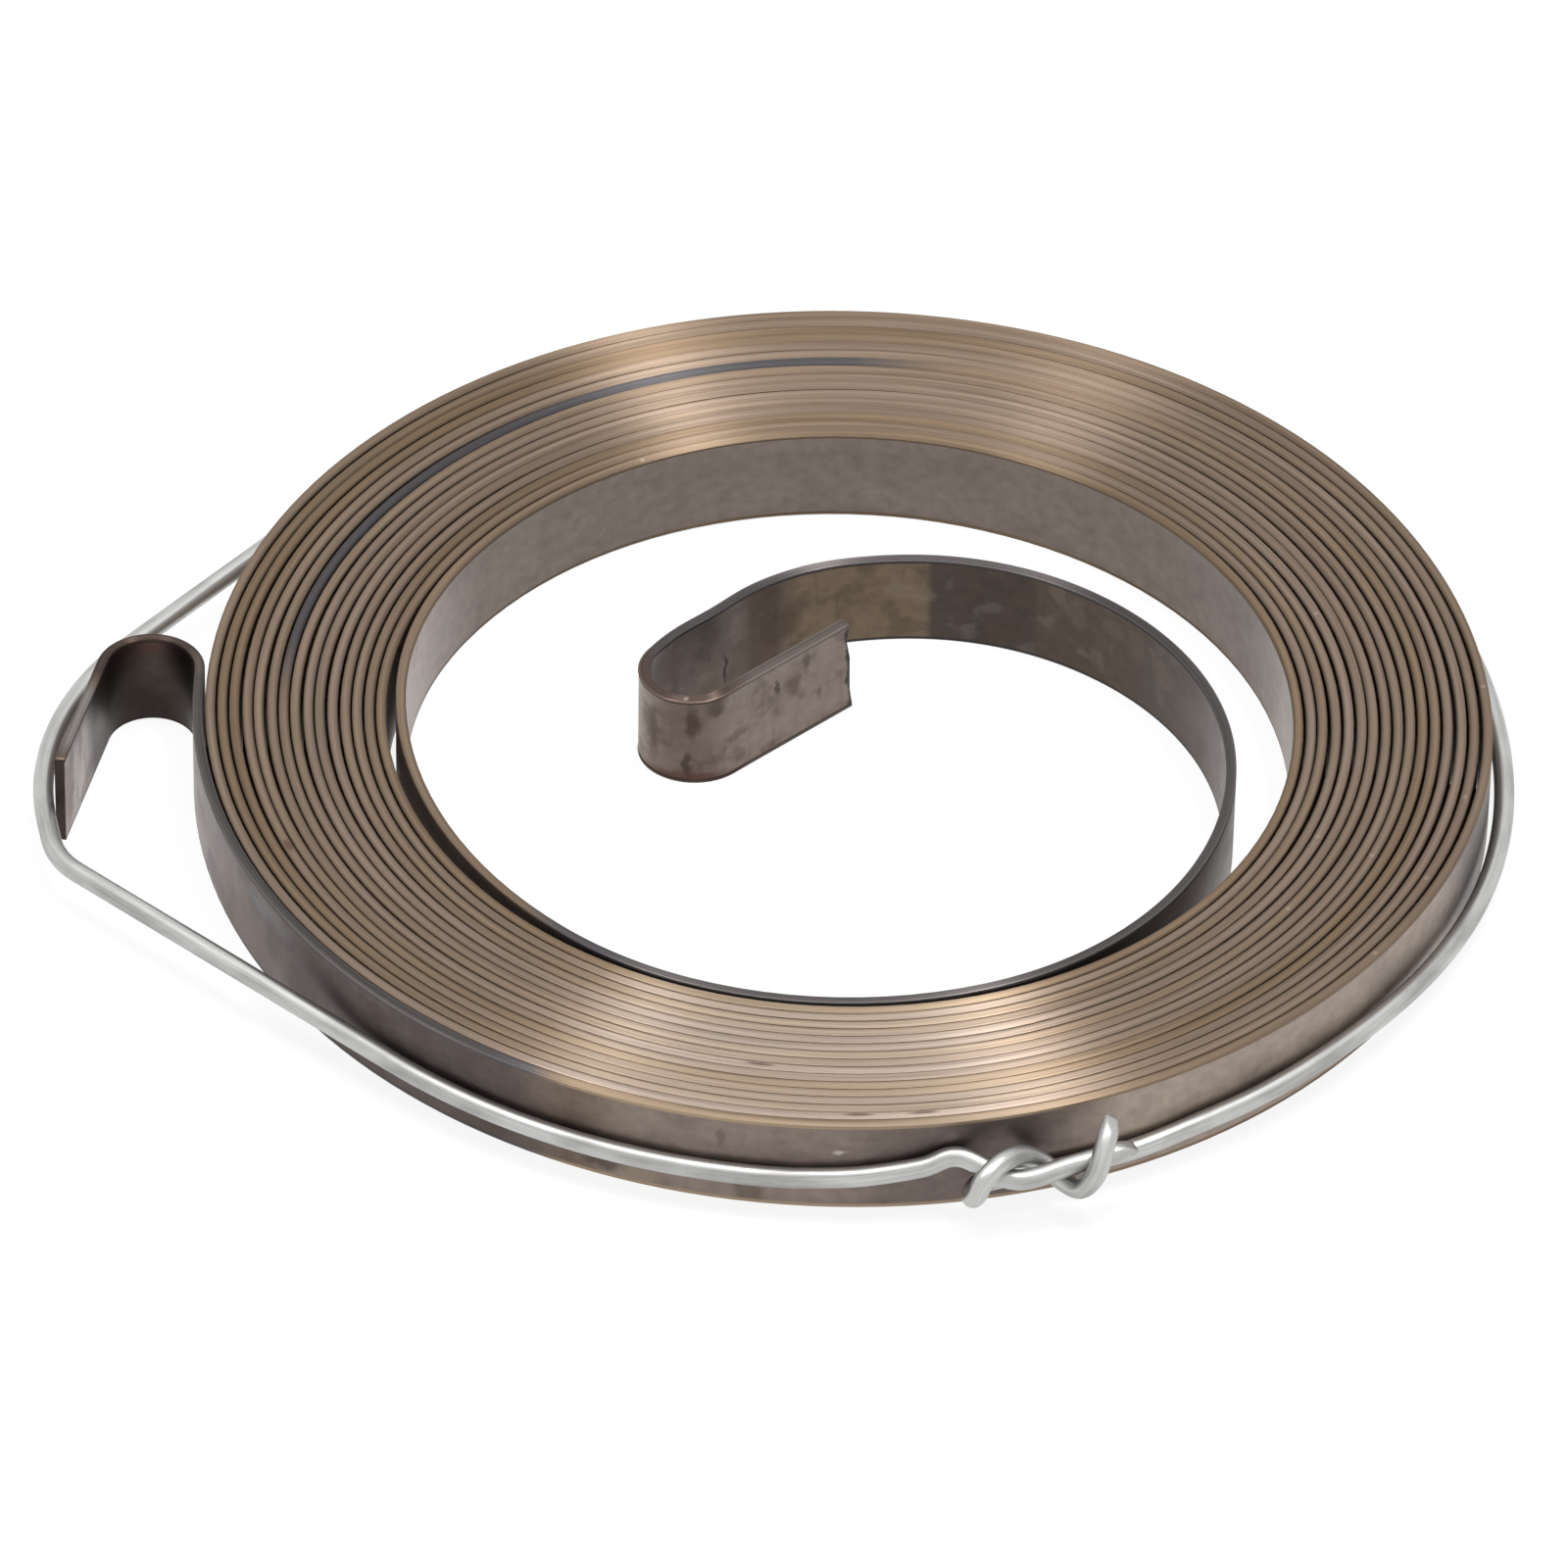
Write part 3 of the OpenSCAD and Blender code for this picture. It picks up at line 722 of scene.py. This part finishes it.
back_end = 90.0
right_end = -54.0
sag_at = -10.0
sag_span = 36.0
front_start = -96.0
right_cuts = 96
strand_cuts = 10
coil_cut, corner_cut, sweep_cut = 1.5, 5, 2.5
right_run = []
for i in range(right_cuts + 1):
    angle = back_end + (right_end - back_end) * i / right_cuts
    off = angle - sag_at
    sag = math.cos(math.radians(90 * off / sag_span)) ** 2 if abs(off) < sag_span else 0.0
    sink = (twist_z + second_strand[0][2] * wire_d - wire_z) * i / right_cuts
    right_run.append(on_circle(right_c, right_r + wire_bulge * sag, angle, wire_z + sink - wire_droop * sag))
wire_route = np.array(
    smooth(first_strand, strand_cuts)
    + around(left_c, left_r, front_start + 360, corner_angle, coil_cut)
    + around(corner_c, corner_r, corner_angle, sweep_end, corner_cut)
    + around(sweep_c, leg_sweep_r, sweep_end, back_angle, sweep_cut)
    + around(back_c, back_r, back_angle, back_end + coil_cut, coil_cut)
    + right_run
    + smooth(second_strand, strand_cuts))

wire_sides = 20
wire_rows = 8
cut_slope = 0.5
cut_edge = 0.06
cut_narrowing = 0.35
# Which way the nipped wedge faces, turned about the wire, at its first and its last end.
cut_turns = (90.0, 35.0)
wire_steps = np.diff(wire_route, axis=0)
wire_along = np.concatenate([[0], np.cumsum(np.linalg.norm(wire_steps, axis=1))])
ways = np.vstack([wire_steps[:1], wire_route[2:] - wire_route[:-2], wire_steps[-1:]])
ways /= np.linalg.norm(ways, axis=1)[:, None]
side_way = np.array([0.0, 0.0, 1.0])
wire_points = []
wire_place = []
around_wire = np.linspace(0, 2 * math.pi, wire_sides, endpoint=False)
for i, (spot, way) in enumerate(zip(wire_route, ways)):
    side_way = side_way - way * side_way.dot(way)
    side_way /= np.linalg.norm(side_way)
    up_way = np.cross(way, side_way)
    to_first, to_last = wire_along[i], wire_along[-1] - wire_along[i]
    nip = min(wire_r, cut_edge + cut_slope * min(to_first, to_last))
    flat_r = wire_r * (1 - cut_narrowing * (1 - nip / wire_r))
    wedge = math.radians(cut_turns[0] if to_first < to_last else cut_turns[1])
    flat_way = math.cos(wedge) * side_way + math.sin(wedge) * up_way
    thin_way = math.cos(wedge) * up_way - math.sin(wedge) * side_way
    for angle in around_wire:
        thin = max(-nip, min(nip, wire_r * math.sin(angle - wedge)))
        wire_points.append(spot + flat_r * math.cos(angle - wedge) * flat_way + thin * thin_way)
        wire_place.append((wire_along[i], wire_r * math.cos(angle), wire_r * math.sin(angle)))
wire_mesh = bpy.data.meshes.new("tie_wire_twisted")
wire_faces = tube_faces(len(wire_route), wire_sides)
wire_mesh.from_pydata((np.array(wire_points) * MM).tolist(), [], wire_faces)
wire_mesh.polygons.foreach_set("use_smooth", [True] * (len(wire_faces) - 2) + [False, False])
lay_flat(wire_mesh, wire_along, wire_r * np.linspace(0, 2 * math.pi, wire_sides + 1), wire_rows)
keep(wire_mesh, "wire_place", "FLOAT_VECTOR", np.array(wire_place) * MM)
wire = bpy.data.objects.new("tie_wire_twisted", wire_mesh)
bpy.context.collection.objects.link(wire)

# Zinc coated drawn wire: a pale, slightly dull silver with faint lines from the die along it and cloudy
# darker patches. The die's lines are drawn coarser than they are, so that they show.
zinc = new_material("zinc_coated_drawn_wire")
tree = zinc.node_tree
place = add_node(tree, "ShaderNodeAttribute", attribute_name="wire_place").outputs["Vector"]
die = grain(tree, place, (7, 0.12, 0.12), 3.0).outputs["Fac"]
cloud = grain(tree, place, (4, 1.2, 1.2), 3.0).outputs["Fac"]
cloud_mix = add_node(tree, "ShaderNodeMapRange", {
    "Value": cloud, "From Min": 0.4, "From Max": 0.7, "To Max": 0.7}).outputs[0]
bright_zinc, dull_zinc = linear("#c6c6c4"), linear("#999896")
coat = add_node(tree, "ShaderNodeMix", {MIX_FACTOR: cloud_mix, MIX_A: bright_zinc, MIX_B: dull_zinc},
                data_type="RGBA").outputs[MIX_OUT]
die_shade = add_node(tree, "ShaderNodeMapRange", {
    "Value": die, "From Min": 0.3, "From Max": 0.7, "To Min": 0.78, "To Max": 1.08}).outputs[0]
drawn = add_node(tree, "ShaderNodeMix", {MIX_FACTOR: 1.0, MIX_A: coat, MIX_B: die_shade},
                 data_type="RGBA", blend_type="MULTIPLY").outputs[MIX_OUT]
zinc_rough = add_node(tree, "ShaderNodeMapRange", {
    "Value": cloud, "From Min": 0.3, "From Max": 0.7, "To Min": 0.32, "To Max": 0.46}).outputs[0]
zinc_bump = add_node(tree, "ShaderNodeBump", {
    "Strength": 0.3, "Distance": 0.02 * MM, "Height": die}).outputs[0]
shader = add_node(tree, "ShaderNodeBsdfPrincipled",
                  {"Base Color": drawn, "Metallic": 1.0, "Roughness": zinc_rough, "Normal": zinc_bump})
add_node(tree, "ShaderNodeOutputMaterial", {"Surface": shader.outputs[0]})
wire_mesh.materials.append(zinc)
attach(wire, "root")
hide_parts("tie_wire")

# Table and light
# A white table in a white room, under two long soft boxes overhead, one to the left and one to the right,
# whose ends draw together at the back, and a wide, shallow one between them.
scene = bpy.context.scene
scene.view_settings.view_transform = "Standard"
table_half = 3.0
table_mesh = bpy.data.meshes.new("table_top")
table_corners = [(-table_half, -table_half, 0), (table_half, -table_half, 0),
                 (table_half, table_half, 0), (-table_half, table_half, 0)]
table_mesh.from_pydata(table_corners, [], [(0, 1, 2, 3)])
table = bpy.data.objects.new("table_top", table_mesh)
bpy.context.collection.objects.link(table)


def seen_by_eye_or_metal(tree):
    """One for the rays that come from the camera, a reflection or glass, and nothing for the rest."""
    rays = add_node(tree, "ShaderNodeLightPath")
    seen = rays.outputs["Is Camera Ray"]
    for kind in ("Is Glossy Ray", "Is Transmission Ray"):
        seen = add_node(tree, "ShaderNodeMath", {0: seen, 1: rays.outputs[kind]},
                        operation="MAXIMUM").outputs[0]
    return seen


# Matt white board: it keeps a soft shadow, and what the camera and the metal see of it is lifted to white.
board = new_material("matt_white_board")
tree = board.node_tree
board_lift = 0.87
glow = add_node(tree, "ShaderNodeMath", {0: seen_by_eye_or_metal(tree), 1: board_lift},
                operation="MULTIPLY").outputs[0]
matt = add_node(tree, "ShaderNodeBsdfDiffuse", {"Color": linear("#808080")}).outputs[0]
lifted = add_node(tree, "ShaderNodeEmission", {"Color": linear("#ffffff"), "Strength": glow}).outputs[0]
both = add_node(tree, "ShaderNodeAddShader", {0: matt, 1: lifted}).outputs[0]
add_node(tree, "ShaderNodeOutputMaterial", {"Surface": both})
table_mesh.materials.append(board)

room = bpy.data.worlds.new("white_room")
scene.world = room
room.use_nodes = True
tree = room.node_tree
tree.nodes.clear()
room_level, seen_level = 0.3, 1.0
room_light = add_node(tree, "ShaderNodeMapRange", {
    "Value": seen_by_eye_or_metal(tree), "To Min": room_level, "To Max": seen_level}).outputs[0]
backdrop = add_node(tree, "ShaderNodeBackground", {
    "Color": linear("#ffffff"), "Strength": room_light}).outputs[0]
add_node(tree, "ShaderNodeOutputWorld", {"Surface": backdrop})

# Each box is its lean to the right, its turn about its own axis, its width, its length and its power.
box_distance = 0.7
boxes = {
    "soft_box_left": (-21.0, -25.0, 0.11, 0.35, 0.75),
    "soft_box_right": (16.5, 20.0, 0.06, 0.35, 1.5),
    "soft_box_top": (-2.3, 0.0, 0.46, 0.05, 1.2),
}
for name, (lean_angle, toe, box_wide, box_long, box_power) in boxes.items():
    lamp_data = bpy.data.lights.new(name, "AREA")
    lamp_data.shape = "RECTANGLE"
    lamp_data.size = box_wide
    lamp_data.size_y = box_long
    lamp_data.energy = box_power
    lamp = bpy.data.objects.new(name, lamp_data)
    bpy.context.collection.objects.link(lamp)
    lamp.matrix_world = turn(lean_angle, "Y") @ Matrix.Translation((0, 0, box_distance)) @ turn(toe, "Z")

bpy.context.view_layer.update()
